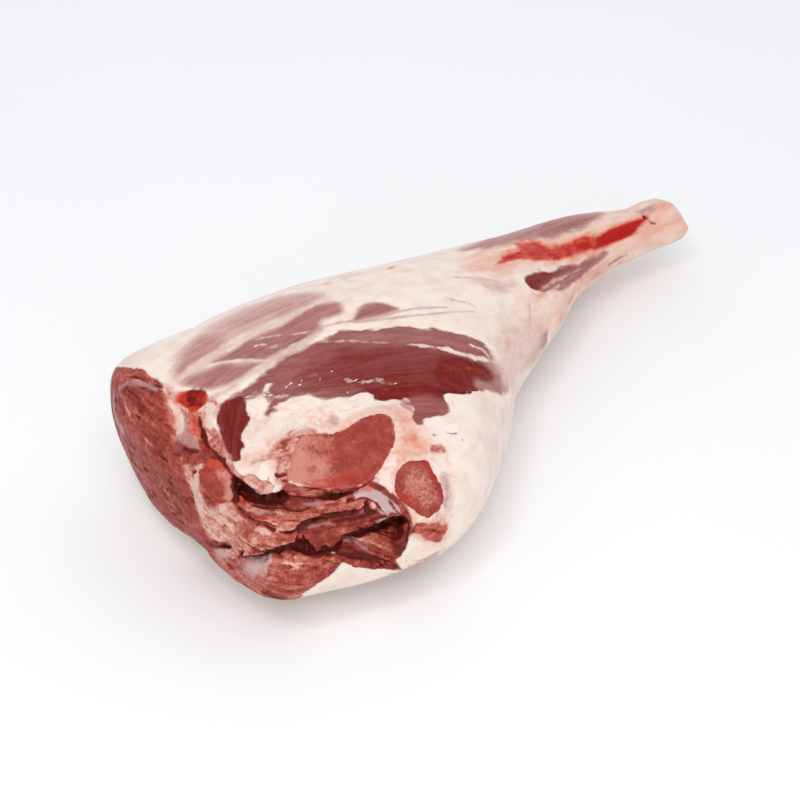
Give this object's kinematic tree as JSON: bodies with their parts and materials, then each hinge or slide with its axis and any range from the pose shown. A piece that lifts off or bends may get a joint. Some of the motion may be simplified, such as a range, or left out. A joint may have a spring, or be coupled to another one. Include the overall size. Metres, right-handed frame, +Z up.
{
  "type": "raw leg of lamb",
  "caption": "Whole raw leg of lamb with shank, lying on its outer side, inner thigh muscle and sawn hip bone showing, butt end cut across.",
  "frame": {"origin": "middle of the bounding box, on the surface the leg lies on", "axes": "+X from the butt cut to the shank end, +Y towards the straight shin side, +Z up out of the inner face of the thigh"},
  "size_m": [0.4475, 0.2191, 0.1062],
  "materials": {
    "lean_and_fat": "moist raw lean under cream fat and a pale membrane",
    "sawn_bone": "matt sawn spongy bone, brown-red with pale flecks"
  },
  "bodies": {
    "root": {"leg_meat": "lean_and_fat", "pubic_bone": "sawn_bone", "ischium_bone": "sawn_bone", "ilium_bone": "sawn_bone"}
  },
  "joints": []
}
